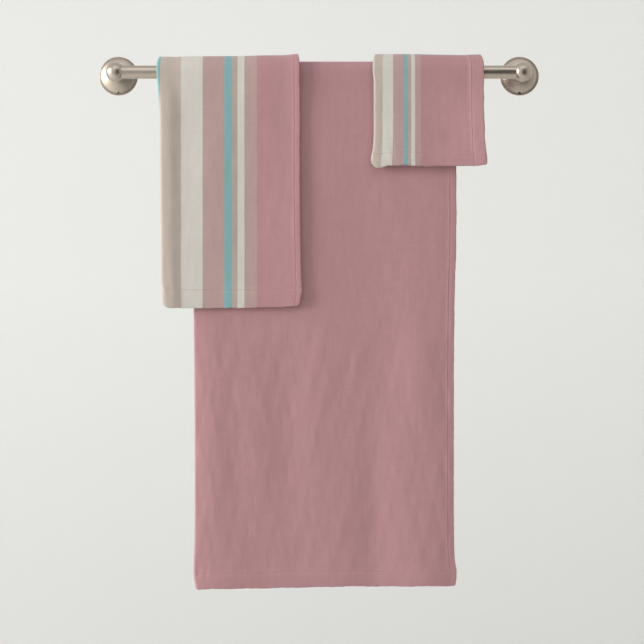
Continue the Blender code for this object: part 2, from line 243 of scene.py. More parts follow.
ROSE = linear(177, 134, 138)
IVORY = linear(203, 199, 192)
TAUPE = linear(185, 172, 163)
MAUVE = linear(178, 151, 149)
TEAL = linear(128, 169, 171)
DARK_TAUPE = linear(175, 160, 151)
REVERSE = linear(214, 190, 188)
THREAD = linear(199, 160, 161)
NICKEL = linear(201, 189, 175)
ZINC = linear(150, 152, 155)
STEEL = linear(90, 86, 82)
PLASTIC = linear(196, 196, 192)
STUDIO = linear(232, 232, 230)
BLACK = (0.012, 0.012, 0.012, 1)

FRAY = 1.1 * MM  # how far the edge of a printed stripe wanders, in all

# Stripes of printed cloth, from the outer layer's right-hand edge: (width in metres, colour)
HAND_TOWEL_STRIPES = (
    (61.8 * MM, ROSE), (18.1 * MM, MAUVE), (10.4 * MM, IVORY), (8 * MM, DARK_TAUPE),
    (11.5 * MM, TEAL), (31.4 * MM, MAUVE), (32 * MM, IVORY), (31 * MM, TAUPE),
    (12 * MM, TEAL), (8 * MM, DARK_TAUPE), (32 * MM, IVORY), (31.5 * MM, MAUVE), (1, ROSE),
)
WASHCLOTH_STRIPES = (
    (94.8 * MM, ROSE), (8 * MM, MAUVE), (6 * MM, IVORY), (4.2 * MM, DARK_TAUPE),
    (6.2 * MM, TEAL), (15.5 * MM, MAUVE), (15.6 * MM, IVORY), (13.6 * MM, TAUPE),
    (6 * MM, TEAL), (4 * MM, DARK_TAUPE), (14.6 * MM, IVORY), (14.6 * MM, MAUVE), (1, ROSE),
)


def striped(nodes, across, stripes):
    """A colour that changes at each stripe's edge, with across in metres. The last stripe goes on."""
    total = 1.01 * sum(width for width, _ in stripes[:-1])
    ramp = nodes.add("ShaderNodeValToRGB", {"Fac": nodes.math("DIVIDE", across, total)})
    ramp.color_ramp.interpolation = "CONSTANT"
    start = 0.0
    for index, (width, colour) in enumerate(stripes):
        if index < 2:
            stop = ramp.color_ramp.elements[index]
            stop.position = start / total
        else:
            stop = ramp.color_ramp.elements.new(start / total)
        stop.color = colour
        start += width
    return ramp.outputs["Color"]


def cloth_material(name, colour=None, stripes=None):
    """Short-piled cotton: a fine uneven weave, a nap lighter and darker in places, and sheen."""
    nodes = Nodes(name)
    place = nodes.add("ShaderNodeUVMap", uv_map="cloth").outputs[0]
    if stripes:
        fray = nodes.noise(place, 1400, 1.0)
        shifted = nodes.math("MULTIPLY", nodes.math("SUBTRACT", fray, 0.5), FRAY)
        across = nodes.add("ShaderNodeSeparateXYZ", {0: place}).outputs[0]
        colour = striped(nodes, nodes.math("ADD", across, shifted), stripes)
    # The scales are in bumps to the metre, across the towel and along it
    rows = nodes.noise(nodes.stretched(place, (140, 720, 1)), 1, 2.0, 0.6)
    columns = nodes.noise(nodes.stretched(place, (520, 45, 1)), 1, 2.0, 0.6)
    pile = nodes.noise(place, 1500, 2.0, 0.7)
    nap = nodes.noise(nodes.stretched(place, (16, 7, 1)), 1, 3.0)
    brushed = nodes.noise(nodes.stretched(place, (75, 30, 1)), 1, 2.0, 0.6)
    streaks = nodes.noise(nodes.stretched(place, (170, 14, 1)), 1, 2.0, 0.6)
    bands = nodes.noise(nodes.stretched(place, (9, 260, 1)), 1, 2.0, 0.6)
    weave = nodes.math("ADD", nodes.math("MULTIPLY", rows, 0.6),
                       nodes.math("MULTIPLY", columns, 0.4))
    uneven = nodes.math("ADD", streaks, nodes.math("MULTIPLY", bands, 0.6))
    for by, low, high in ((nap, 0.95, 1.05), (uneven, 0.92, 1.02), (brushed, 0.945, 1.055),
                          (weave, 0.93, 1.07), (pile, 0.94, 1.06)):
        colour = nodes.tinted(colour, by, low, high)
    normal = nodes.bump(nodes.math("ADD", weave, nodes.math("MULTIPLY", pile, 0.5)), 0.5 * MM, 0.55)
    roughness = nodes.math("ADD", nodes.math("MULTIPLY", nap, 0.12), 0.82)
    return nodes.finish(colour, roughness, normal, Sheen_Weight=0.18, Sheen_Roughness=0.5,
                        Specular_IOR_Level=0.2)


def thread_material():
    """Twisted sewing thread, a little paler than the rose cloth."""
    nodes = Nodes("sewing_thread")
    place = nodes.object_place()
    twist = nodes.noise(place, 3000, 1.0)
    return nodes.finish(nodes.tinted(THREAD, twist, 0.9, 1.1), 0.6,
                        nodes.bump(twist, 0.1 * MM, 0.5), Sheen_Weight=0.1)


def brushed_metal(name, colour, roughness, grain):
    """Metal with a fine grain, stretched by the three numbers of grain, and small cloudy wear."""
    nodes = Nodes(name)
    place = nodes.object_place()
    scratches = nodes.noise(nodes.stretched(place, grain), 1, 3.0, 0.65)
    clouds = nodes.noise(place, 60, 3.0)
    varied = nodes.tinted(colour, clouds, 0.94, 1.06)
    varied = nodes.tinted(varied, scratches, 0.94, 1.06)
    rough = nodes.math("ADD", nodes.math("MULTIPLY", scratches, 0.14), roughness - 0.07)
    rough = nodes.math("ADD", rough, nodes.math("MULTIPLY", nodes.math("SUBTRACT", clouds, 0.5), 0.1))
    return nodes.finish(varied, rough, nodes.bump(scratches, 0.02 * MM, 0.5), Metallic=1.0)


def moulded_plastic(name, colour):
    """Matt plastic with a finely grained surface."""
    nodes = Nodes(name)
    place = nodes.object_place()
    grain = nodes.noise(place, 900, 3.0)
    clouds = nodes.noise(place, 80, 2.0)
    roughness = nodes.math("ADD", nodes.math("MULTIPLY", clouds, 0.2), 0.38)
    return nodes.finish(nodes.tinted(colour, clouds, 0.94, 1.04), roughness,
                        nodes.bump(grain, 0.05 * MM, 0.6), Specular_IOR_Level=0.4)


# ---- Towels ---------------------------------------------------------------------------------

INNER_INSET = 2 * MM  # how far short of the outer layer's hemmed edge the inner one's stops
HEM_STEP = 0.3 * MM  # how far a hem stands out of the printed face
HEM_PUFF = 0.5 * MM  # how much further the middle of an outer end hem does
HEM_EDGE = 2.4 * MM  # over which a hem's step rises
HEM_FADE = 9 * MM  # how far beyond a hem the layers are still held apart by it
LAYER_CLEARANCE = 0.1 * MM  # the least air between the two layers
SEAM_WIDTH = 0.9 * MM  # of the groove that a line of stitches pulls in
SEAM_DEPTH = 0.4 * MM  # of that groove in the printed face
SEAM_DEPTH_BEHIND = 0.3 * MM  # and in the reverse
PUCKER = 0.08 * MM  # height of the small gathers along an end hem's stitches
EDGE_WOBBLE = 0.25 * MM  # unevenness of the lower edge
SIDE_WOBBLE = 0.2 * MM  # and of the right edge

FOLDS_BEGIN = 120 * MM  # length below wave_top over which the folds and creases begin
HELD_FOLDS = (0.3, 0.1)  # share of the folds that is left above it, on the front and on the back
HELD_UNEVENNESS = 0.2  # share of the unevenness that is left there
UNEVEN_BEGINS = (-10 * MM, -120 * MM)  # heights between which the unevenness grows to its full share
BACK_SCALE = 1.7  # how much shorter the unevenness of the back leaf is across
HEM_STIFFNESS = 0.7  # share of the unevenness that a hem's three layers take away
PRESSED_LENGTH = 60 * MM  # length below wave_top over which the fold opens
RIGHT_REACH = 60 * MM  # how far in from the right edge its shape is felt
LEFT_REACH = 50 * MM  # and from the left edge
LOWER_REACH = 50 * MM  # and from the lower edge
WOBBLE_REACH = 20 * MM  # how far in from the right edge its unevenness is felt
SWELL_REACH = (26 * MM, -4 * MM)  # distances from the side edge between which it swells out
HEM_REACH = (40 * MM, 15 * MM)  # distances from the end between which the layers part for the hem
ON_BAR = (-70 * MM, -5 * MM)  # heights between which the towel takes on its shape on the bar

STITCH_INSET = 1.5 * MM  # from a hem's folded edge to its line of stitches
STITCH_PITCH = 3.3 * MM
STITCH_LENGTH = 2.5 * MM
STITCH_MARGIN = 3 * MM  # from the cloth's edge to the middle of the first stitch
STITCH_ARCH = 0.3 * MM  # how far a stitch bows out
STITCH_SUNK = 0.16 * MM  # how deep its ends lie in the cloth
STITCH_RINGS = 6  # of vertices along a stitch
STITCH_SIDES = 6
THREAD_RADIUS = 0.27 * MM
THREAD_TAPER = 0.93  # of 1, how nearly the thread comes to a point at a stitch's ends

BEND_LENGTH = 45 * MM  # of the cloth below the bar, over which a lifted leaf bends


class Ridge(NamedTuple):
    """A soft fold that runs down a hanging leaf. Heights are those of its ends, below the bar."""

    x: float
    half_width: float
    height: float
    top: float
    bottom: float
    lean: float  # how far it has moved to the right at its lower end


class Look(NamedTuple):
    """What a towel's cloth is like, and how it hangs. Lengths in metres."""

    thickness: float
    hem_thickness: float
    air: float  # between the two layers where they lie flat
    fold_gap: float  # between the middles of the layers beside the fold
    fold_gap_on_bar: float  # the same on the bar, and down to wave_top
    roll: tuple  # from the fold to where its roll begins to sink, and to where it ends
    edge_fall: tuple  # how far the outer layer falls back towards the fold, and from how far away
    left_edge: tuple  # (height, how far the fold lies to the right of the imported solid's edge)
    left_stretch: tuple  # the same, where the print is stretched with it
    right_edge: tuple  # the same for the hemmed edge
    top_corners: tuple  # how far the left and right edges are pulled in at the very top
    lower_edge: tuple  # (share of the width from the left, how far the edge is raised)
    corners: tuple  # radii of the lower left and right corners
    on_bar: tuple  # (share of the width from the left, how far the outer layer stands off)
    side_swell: float  # how much further out the outer layer stands at its side hem
    ridges: tuple
    ripple: float  # height of the broad unevenness
    crease: float  # height of the narrow creases
    wave_top: float  # height above which the towel is held flat
    seed: int


class Cloth:
    """A towel's cloth as a surface of two coordinates, s and v, both in metres along the cloth.

    s runs across it: from the outer layer's hemmed edge, at the right, to the fold at the left, and
    back along the inner layer. v runs up the front, over the bar and down the back.
    """

    def __init__(self, name, look):
        self.name = name
        self.look = look
        low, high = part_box(f"{name}_saddle")
        leaf_low, leaf_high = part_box(f"{name}_front")
        side_low, side_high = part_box(f"{name}_front_side_hem")
        end_low, end_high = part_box(f"{name}_front_end_hem")
        self.left, self.right = low.x, high.x
        self.axis_y = 0.5 * (low.y + high.y)
        self.outer = 0.5 * (high.y - low.y)
        self.inner = self.outer - (leaf_high.y - leaf_low.y)
        self.side_hem = side_high.x - side_low.x
        self.end_hem = end_high.z - end_low.z
        self.front = -end_low.z
        self.back = -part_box(f"{name}_back_end_hem")[0].z
        self.arc = math.pi * 0.5 * (self.inner + self.outer)
        self.length = self.front + self.arc + self.back
        turn_radius = 0.5 * (look.fold_gap - look.edge_fall[0])
        self.width = 2 * (self.right - self.left) + (math.pi - 2) * turn_radius - INNER_INSET
        self.inner_radius = self.inner + 0.5 * look.thickness
        self.extra = look.hem_thickness - look.thickness  # what a hem adds at the back of the cloth
        self.unevenness = ripples(look.seed, 7, (55 * MM, 160 * MM), (150 * MM, 700 * MM))
        self.creases = ripples(look.seed + 3, 9, (12 * MM, 34 * MM), (50 * MM, 170 * MM))
        self.pucker = ripples(look.seed + 1, 5, (8 * MM, 17 * MM), (60 * MM, 200 * MM))
        self.wobble = ripples(look.seed + 2, 5, (13 * MM, 60 * MM), (13 * MM, 60 * MM))

    def height(self, v):
        """The height of a hanging leaf, which is 0 over the bar, and the angle turned round the bar."""
        turn = np.clip((v - self.front) / self.arc, 0, 1) * math.pi
        hang = np.where(v < self.front, v - self.front, np.minimum(self.front + self.arc - v, 0))
        return hang, turn

    def edge_distances(self, s, v):
        """How far the nearer side edge and the nearer end are."""
        return np.minimum(s, self.width - s), np.minimum(v, self.length - v)

    def in_hem(self, s, v, soft):
        """1 in a hem and 0 beyond it, changing over the width given by soft."""
        side, end = self.edge_distances(s, v)
        return np.maximum(smooth_step(side, self.side_hem + soft, self.side_hem),
                          smooth_step(end, self.end_hem + soft, self.end_hem))

    def near_end_hem(self, end):
        """1 just inside an end hem's folded edge, fading out to both sides of it."""
        return bell(end, self.end_hem - 2 * MM, 9 * MM)

    def folds(self, x, hang, front):
        """The soft folds that run down a leaf. The back leaf has those of the front, mirrored."""
        found = 0.0
        for ridge in self.look.ridges:
            along = np.clip((hang - ridge.top) / (ridge.bottom - ridge.top), 0, 1)
            centre = ridge.x + ridge.lean * along
            mirrored = np.where(front, centre, self.left + self.right - centre)
            rise = np.sin(0.5 * math.pi * np.minimum(2 * along, 1))
            found = found + ridge.height * bell(x, mirrored, ridge.half_width) * rise
        return found

    def relief(self, x, hang, v):
        """How far the leaf is away from flat, at x and at a height below the bar."""
        look = self.look
        front = v < self.front + 0.5 * self.arc
        free = 1 - smooth_step(hang, look.wave_top - FOLDS_BEGIN, look.wave_top)
        held = np.where(front, *HELD_FOLDS)
        closer = np.where(front, 1, BACK_SCALE)
        uneven = look.ripple * self.unevenness(x * closer, hang)
        creased = look.crease * self.creases(x * closer, hang)
        end = np.minimum(v, self.length - v)
        hem = smooth_step(end, self.end_hem + 12 * MM, self.end_hem - 4 * MM)
        share = smooth_step(hang, *UNEVEN_BEGINS) * (1 - HEM_STIFFNESS * hem)
        share = share * (HELD_UNEVENNESS + (1 - HELD_UNEVENNESS) * free)
        return (self.folds(x, hang, front) * np.clip(free + held, 0, 1)
                + share * (uneven + creased))

    def layer_gap(self, s, v, x, left, fold_gap, fall):
        """How far apart the middles of the two layers are."""
        look = self.look
        hang, _ = self.height(v)
        side, end = self.edge_distances(s, v)
        share = (x - self.left) / (self.right - self.left)
        flat_gap = look.thickness + look.air
        roll = smooth_step(x - left, look.roll[1], look.roll[0])
        over_bar = smooth_step(hang, *ON_BAR)
        gap = flat_gap + (fold_gap - flat_gap) * roll
        gap = gap + look.side_swell * smooth_step(side, *SWELL_REACH)
        gap = gap + 2 * self.extra * smooth_step(end, *HEM_REACH)
        gap = gap - fall * np.clip(1 - (x - left) / look.edge_fall[1], 0, 1) ** 3
        gap = gap + through(look.on_bar, share) * over_bar * (1 - roll)
        hems = 2 * self.extra * self.in_hem(s, v, HEM_FADE)
        room = LAYER_CLEARANCE + 0.25 * MM * self.near_end_hem(end)
        return np.maximum(gap, look.thickness + hems + room)

    def raised(self, x, end, edges):
        """How far the cloth is raised by its uneven lower edge and by the edge's round corners."""
        share = (x - self.left) / (self.right - self.left)
        found = through(self.look.lower_edge, share) + EDGE_WOBBLE * self.wobble(x, 0 * x)
        for distance, corner in zip(edges, self.look.corners):
            inside = np.clip(1 - distance / corner, 0, 1)
            # 0.95, where a full quarter of a circle has 1, keeps the edge from standing upright
            found = found + corner * (1 - np.sqrt(1 - 0.95 * inside**2))
        return found * smooth_step(end, LOWER_REACH, 0)

    def middle(self, s, v):
        """The middle of the cloth's thickness, as an array of points."""
        look = self.look
        s, v = np.broadcast_arrays(s, v)
        hang, turn = self.height(v)
        _, end = self.edge_distances(s, v)

        left = self.left + through(look.left_edge, hang)
        pressed = smooth_step(hang, look.wave_top - PRESSED_LENGTH, look.wave_top)
        fold_gap = look.fold_gap + (look.fold_gap_on_bar - look.fold_gap) * pressed
        fall = look.edge_fall[0] * (1 - pressed)
        half = 0.5 * (fold_gap - fall)  # radius of the turn at the fold
        fold_start = self.right - left - half
        fold_end = fold_start + math.pi * half
        angle = np.clip((s - fold_start) / half, 0, math.pi)
        outer_share = 0.5 * (1 + np.cos(angle))  # 1 on the outer layer, 0 on the inner one

        x = np.where(s < fold_start, self.right - s, left + half - half * np.sin(angle))
        behind = (s - fold_end) / (self.width - fold_end)  # share of the inner layer's width
        inner_x = left + half + behind * (self.right - INNER_INSET - left - half)
        x = np.where(s > fold_end, inner_x, x)
        edges = x - left, self.right - x
        from_right = smooth_step(edges[1], RIGHT_REACH, 0)
        from_left = smooth_step(edges[0], LEFT_REACH, 0)
        top = np.sin(turn) ** 4
        x = x + from_right * (through(look.right_edge, hang) - look.top_corners[1] * top)
        x = x + from_left * (through(look.left_stretch, hang) + look.top_corners[0] * top)
        near_right = smooth_step(self.right - x, WOBBLE_REACH, 0)
        x = x + SIDE_WOBBLE * near_right * self.wobble(hang, 0 * hang)

        gap = self.layer_gap(s, v, x, left, fold_gap, fall)
        puckered = PUCKER * self.near_end_hem(end) * self.pucker(x, hang)
        radius = self.inner_radius + self.relief(x, hang, v) + outer_share * (gap + puckered)
        y = self.axis_y - radius * np.cos(turn)
        z = radius * np.sin(turn) + hang + self.raised(x, end, edges)
        return np.stack(np.broadcast_arrays(x, y, z), axis=-1)

    def printed_side(self, s, v):
        """The direction that the printed face looks in."""
        step = 0.15 * MM
        s_low, s_high = np.maximum(s - step, 0), np.minimum(s + step, self.width)
        v_low, v_high = np.maximum(v - step, 0), np.minimum(v + step, self.length)
        along = self.middle(s, v_high) - self.middle(s, v_low)
        across = self.middle(s_high, v) - self.middle(s_low, v)
        normal = np.cross(along, across)
        return normal / np.linalg.norm(normal, axis=-1, keepdims=True)

    def faces(self, s, v):
        """The printed face and the reverse, as two arrays of points that meet at the cloth's edges."""
        look = self.look
        s, v = np.broadcast_arrays(s, v)
        side, end = self.edge_distances(s, v)
        hem = self.in_hem(s, v, HEM_EDGE)
        groove = np.maximum(bell(side, self.side_hem - STITCH_INSET, SEAM_WIDTH),
                            bell(end, self.end_hem - STITCH_INSET, SEAM_WIDTH))
        outer = smooth_step(s, 0.5 * self.width + 5 * MM, 0.5 * self.width - 5 * MM)
        puffed = outer * np.sin(math.pi * np.clip(end / self.end_hem, 0, 1))
        printed = 0.5 * look.thickness + HEM_STEP * hem + HEM_PUFF * puffed - SEAM_DEPTH * groove
        reverse = 0.5 * look.thickness + self.extra * hem - SEAM_DEPTH_BEHIND * groove
        from_edge = np.clip(np.minimum(side, end) / (0.5 * look.hem_thickness), 0, 1)
        rounding = np.sqrt(1 - (1 - from_edge) ** 2)
        centre = 0.5 * (printed - reverse)
        half = 0.5 * (printed + reverse) * rounding
        middle = self.middle(s, v)
        normal = self.printed_side(s, v)
        return (middle + normal * (centre + half)[..., None],
                middle + normal * (centre - half)[..., None])


def lines(stretches):
    """Positions along one direction of the cloth: each stretch is (end, spacing), one after another."""
    found = [np.zeros(1)]
    start = 0.0
    for end, spacing in stretches:
        count = max(1, round((end - start) / spacing))
        found.append(start + (end - start) * np.arange(1, count + 1) / count)
        start = end
    return np.concatenate(found)


def edge_stretches(hem):
    """From a cloth's edge to past its hem, closer together where it rounds and where it is sewn."""
    return [(0.5 * MM, 0.25 * MM), (2.4 * MM, 0.5 * MM), (hem - STITCH_INSET - 2 * MM, 2.5 * MM),
            (hem + 1.6 * MM, 0.6 * MM), (hem + 9 * MM, 2.4 * MM)]


def between_hems(hem, whole, stretches, spacing):
    """Lines over a whole width or length, hemmed at both edges: the stretches, and then spacing."""
    edge = edge_stretches(hem)
    opening = lines([*edge, *stretches, (whole - edge[-1][0], spacing)])
    closing = whole - lines(edge)[::-1]
    return np.concatenate([opening, closing[1:]])


def cloth_grid(cloth, spacing):
    """The positions of the mesh's lines across the cloth and along it."""
    fold = cloth.right - cloth.left
    round_fold = [(fold - 30 * MM, spacing), (fold - 6 * MM, 2 * MM), (fold + 14 * MM, 0.7 * MM),
                  (fold + 34 * MM, 2.5 * MM)]
    across = between_hems(cloth.side_hem, cloth.width, round_fold, 2.4 * spacing)
    round_bar = [(cloth.front - 20 * MM, 1.6 * spacing),
                 (cloth.front + cloth.arc + 20 * MM, 2.4 * MM)]
    along = between_hems(cloth.end_hem, cloth.length, round_bar, 3 * spacing)
    return across, along


def add_cloth(cloth, spacing, printed_material, reverse_material):
    """The cloth as one closed mesh, with the printed face and the reverse joined round its edges."""
    across, along = cloth_grid(cloth, spacing)
    s, v = np.meshgrid(across, along, indexing="ij")
    printed, reverse = cloth.faces(s, v)
    columns, rows = s.shape
    number = np.arange(columns * rows).reshape(columns, rows)
    inside = np.zeros((columns, rows), bool)
    inside[1:-1, 1:-1] = True
    behind = number.copy()
    behind[inside] = columns * rows + np.arange(inside.sum())
    vertices = np.concatenate([printed.reshape(-1, 3), reverse[inside]])

    def quads(grid):
        corners = grid[:-1, :-1], grid[1:, :-1], grid[1:, 1:], grid[:-1, 1:]
        return np.stack(corners, -1).reshape(-1, 4)

    shown, hidden = quads(number)[:, ::-1], quads(behind)
    faces = np.concatenate([shown, hidden])
    index = np.repeat([0, 1], [len(shown), len(hidden)])
    materials = printed_material, reverse_material
    obj = add_quads(f"{cloth.name}_cloth", vertices, faces, materials, index)
    place = np.stack([s, v], -1).reshape(-1, 2)
    place = np.concatenate([place, place.reshape(columns, rows, 2)[inside]])
    layer = obj.data.uv_layers.new(name="cloth")
    layer.uv.foreach_set("vector", place[faces.ravel()].astype(np.float32).ravel())
    return obj


def stitch_lines(cloth):
    """The middle of each stitch and its direction on the cloth, as (s, v, along s, along v)."""
    found = []
    for v in (cloth.end_hem - STITCH_INSET, cloth.length - cloth.end_hem + STITCH_INSET):
        s = np.arange(STITCH_MARGIN, cloth.width - STITCH_MARGIN, STITCH_PITCH)
        found.append(np.stack([s, np.full_like(s, v), np.ones_like(s), np.zeros_like(s)]))
    for s in (cloth.side_hem - STITCH_INSET, cloth.width - cloth.side_hem + STITCH_INSET):
        v = np.arange(STITCH_MARGIN, cloth.length - STITCH_MARGIN, STITCH_PITCH)
        found.append(np.stack([np.full_like(v, s), v, np.zeros_like(v), np.ones_like(v)]))
    return np.concatenate(found, axis=1)


def add_stitching(cloth, material):
    """Every stitch of the hems: a short arch of thread that dips into the cloth at both ends."""
    s, v, along_s, along_v = stitch_lines(cloth)
    random = np.random.default_rng(cloth.look.seed + 5)
    length = STITCH_LENGTH * random.uniform(0.9, 1.08, len(s))
    half_s, half_v = 0.5 * length * along_s, 0.5 * length * along_v
    start, _ = cloth.faces(s - half_s, v - half_v)
    end, _ = cloth.faces(s + half_s, v + half_v)
    centre, _ = cloth.faces(s, v)
    normal = cloth.printed_side(s, v)
    sideways = np.cross(normal, end - start)
    sideways /= np.linalg.norm(sideways, axis=-1, keepdims=True)
    bow = centre - 0.5 * (start + end)
    vertices = []
    for ring in np.linspace(-1, 1, STITCH_RINGS):
        share = 0.5 * (ring + 1)
        arch = 1 - ring**2
        line = start * (1 - share) + end * share + bow * arch
        line = line + normal * (STITCH_ARCH * arch - STITCH_SUNK)
        radius = THREAD_RADIUS * math.sqrt(1 - THREAD_TAPER * ring**2)
        for side in range(STITCH_SIDES):
            turn = math.tau * side / STITCH_SIDES
            vertices.append(line + radius * (math.cos(turn) * sideways + math.sin(turn) * normal))
    count = len(vertices)
    vertices = np.stack(vertices, axis=1).reshape(-1, 3)
    faces = tube_faces(STITCH_RINGS, STITCH_SIDES)
    last = count - STITCH_SIDES
    for quad in ((0, 3, 2, 1), (0, 5, 4, 3)):  # each end's six corners are closed by two quads
        faces.append(quad)
        faces.append(tuple(last + corner for corner in quad[::-1]))
    faces = np.array(faces)[None] + (np.arange(len(s)) * count)[:, None, None]
    return add_quads(f"{cloth.name}_stitching", vertices, faces.reshape(-1, 4), (material,))


BATH_TOWEL = Look(
    thickness=2.4 * MM, hem_thickness=2.6 * MM, air=1.6 * MM, fold_gap=5.2 * MM,
    fold_gap_on_bar=3.6 * MM, roll=(20 * MM, 60 * MM), edge_fall=(1.9 * MM, 33 * MM),
    left_edge=((-757 * MM, 2 * MM), (-740 * MM, 0), (-727 * MM, -0.7 * MM), (-690 * MM, 0.6 * MM),
               (-600 * MM, 0.9 * MM), (-440 * MM, 0.2 * MM), (-350 * MM, -0.8 * MM)),
    left_stretch=((-757 * MM, 0), (0, 0)),
    right_edge=((-757 * MM, 1.5 * MM), (-745 * MM, 3.1 * MM), (-733 * MM, 2.9 * MM),
                (-722 * MM, 0.8 * MM), (-700 * MM, -0.4 * MM), (-645 * MM, -1.1 * MM),
                (-450 * MM, -1 * MM), (-327 * MM, 0.3 * MM), (-306 * MM, 0.7 * MM),
                (-280 * MM, 2 * MM), (-200 * MM, 2.9 * MM), (-150 * MM, 2.6 * MM)),
    top_corners=(0, 0),
    lower_edge=((0, -4.2 * MM), (0.06, -2.9 * MM), (0.25, -1.8 * MM), (0.45, -0.2 * MM),
                (0.62, 1.1 * MM), (0.72, 0.9 * MM), (0.82, 1.2 * MM), (1, 1.6 * MM)),
    corners=(5 * MM, 4 * MM),
    on_bar=((0, -1.3 * MM), (1, -1.3 * MM)), side_swell=-0.7 * MM,
    ridges=(
        Ridge(9 * MM, 34 * MM, 1.2 * MM, -190 * MM, -757 * MM, 10 * MM),
        Ridge(152 * MM, 37 * MM, 3.6 * MM, -130 * MM, -757 * MM, 4 * MM),
        Ridge(-118 * MM, 40 * MM, 1.8 * MM, -380 * MM, -757 * MM, -10 * MM),
        Ridge(74 * MM, 22 * MM, -1.2 * MM, -300 * MM, -757 * MM, 8 * MM),
    ),
    ripple=0.5 * MM, crease=0.14 * MM, wave_top=-330 * MM, seed=11)

HAND_TOWEL = Look(
    thickness=2.1 * MM, hem_thickness=2.4 * MM, air=0.5 * MM, fold_gap=5.4 * MM,
    fold_gap_on_bar=2.5 * MM, roll=(12 * MM, 31 * MM), edge_fall=(1.2 * MM, 13 * MM),
    left_edge=((-346 * MM, 4 * MM), (-322 * MM, 4 * MM), (-311 * MM, 1.8 * MM),
               (-265 * MM, 1.5 * MM), (-207 * MM, 0.9 * MM), (-120 * MM, 0.2 * MM),
               (-66 * MM, -0.3 * MM), (-43 * MM, -1.4 * MM), (-15 * MM, -3.8 * MM), (0, -5 * MM)),
    left_stretch=((-346 * MM, 0), (0, 0)),
    right_edge=((-346 * MM, 1.5 * MM), (-325 * MM, 3.8 * MM), (-300 * MM, 2.9 * MM),
                (-200 * MM, 1.1 * MM), (-120 * MM, 0.7 * MM), (-50 * MM, 1 * MM), (-15 * MM, 0),
                (0, 0.6 * MM)),
    top_corners=(2.5 * MM, 2.5 * MM),
    lower_edge=((0, -1.6 * MM), (0.3, -1.9 * MM), (0.6, -1.5 * MM), (0.85, -0.3 * MM), (1, 1 * MM)),
    corners=(9 * MM, 7 * MM),
    on_bar=((0, -0.8 * MM), (0.3, 0.6 * MM), (0.6, 0.9 * MM), (0.75, 1.9 * MM), (1, 2.2 * MM)),
    side_swell=1.7 * MM,
    ridges=(
        Ridge(-46 * MM, 25 * MM, 1.1 * MM, -60 * MM, -346 * MM, 4 * MM),
    ),
    ripple=0.22 * MM, crease=0.05 * MM, wave_top=0, seed=23)

WASHCLOTH = Look(
    thickness=2.3 * MM, hem_thickness=2.7 * MM, air=1 * MM, fold_gap=4.1 * MM,
    fold_gap_on_bar=4.1 * MM, roll=(1 * MM, 12 * MM), edge_fall=(0.6 * MM, 13 * MM),
    left_edge=((-138 * MM, 0.9 * MM), (-15 * MM, 0.9 * MM), (0, -0.6 * MM)),
    left_stretch=((-138 * MM, -2.8 * MM), (-133 * MM, -3.6 * MM), (-127 * MM, -2.9 * MM),
                  (-114 * MM, -1.1 * MM), (-90 * MM, 0), (0, 0)),
    right_edge=((-138 * MM, 2 * MM), (-128 * MM, 1.7 * MM), (-112 * MM, -0.4 * MM),
                (-86 * MM, -1.5 * MM), (-60 * MM, -2.3 * MM), (-33 * MM, -2.6 * MM),
                (-15 * MM, -2 * MM), (0, -2.4 * MM)),
    top_corners=(2 * MM, 4 * MM),
    lower_edge=((0, -4.6 * MM), (0.06, -3.6 * MM), (0.14, -0.5 * MM), (0.26, -0.3 * MM),
                (0.5, -1.5 * MM), (0.7, -1 * MM), (0.87, -1.4 * MM), (1, 0.4 * MM)),
    corners=(9 * MM, 3 * MM),
    on_bar=((0, 1.1 * MM), (0.25, 1.1 * MM), (0.5, 0.4 * MM), (0.83, -0.5 * MM), (1, -1 * MM)),
    side_swell=1.5 * MM,
    ridges=(
        Ridge(262 * MM, 62 * MM, 7 * MM, -15 * MM, -138 * MM, -8 * MM),
        Ridge(122 * MM, 40 * MM, 2.8 * MM, -15 * MM, -138 * MM, 0),
    ),
    ripple=0.3 * MM, crease=0.08 * MM, wave_top=0, seed=37)


def follow(obj, cloth, leaf_body):
    """Makes a piece of a towel move with it, and bend at the bar where its front leaf can be lifted."""
    if leaf_body is None:
        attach(obj, cloth.name)
        return
    front_y = cloth.axis_y - 0.5 * (cloth.inner + cloth.outer)
    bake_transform(obj, cloth.name, leaf_body, start=(cloth.left, front_y, 0),
             end=(cloth.left, front_y, -BEND_LENGTH))
    weights = obj.data.attributes["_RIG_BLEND"].data
    behind = np.array([vertex.co.y > cloth.axis_y for vertex in obj.data.vertices])
    found = np.zeros(len(behind), np.float32)
    weights.foreach_get("value", found)
    found[behind] = 0  # the back leaf hangs at the same height, and stays where it is
    weights.foreach_set("value", found)


def add_towel(name, look, spacing, printed, reverse, thread, leaf_body=None):
    """One towel: its cloth and its stitching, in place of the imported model's solids."""
    cloth = Cloth(name, look)
    sheet = add_cloth(cloth, spacing, printed, reverse)
    stitching = add_stitching(cloth, thread)
    solids = [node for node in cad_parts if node.startswith(f"{name}_")]
    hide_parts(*solids)
    for piece in (sheet, stitching):
        follow(piece, cloth, leaf_body)


def add_towels():
    """The three towels, with their mesh spacing, their materials and, for two of them, the front leaf that
    can be lifted.
    """
    reverse = cloth_material("cloth_reverse", REVERSE)
    thread = thread_material()
    add_towel("bath_towel", BATH_TOWEL, 4.2 * MM,
              cloth_material("rose_cloth_print", ROSE), reverse, thread)
    add_towel("hand_towel", HAND_TOWEL, 3.6 * MM,
              cloth_material("hand_towel_print", stripes=HAND_TOWEL_STRIPES), reverse, thread,
              "hand_towel_front_leaf")
    add_towel("washcloth", WASHCLOTH, 3 * MM,
              cloth_material("washcloth_print", stripes=WASHCLOTH_STRIPES), reverse, thread,
              "washcloth_front_leaf")


# ---- Rail -----------------------------------------------------------------------------------

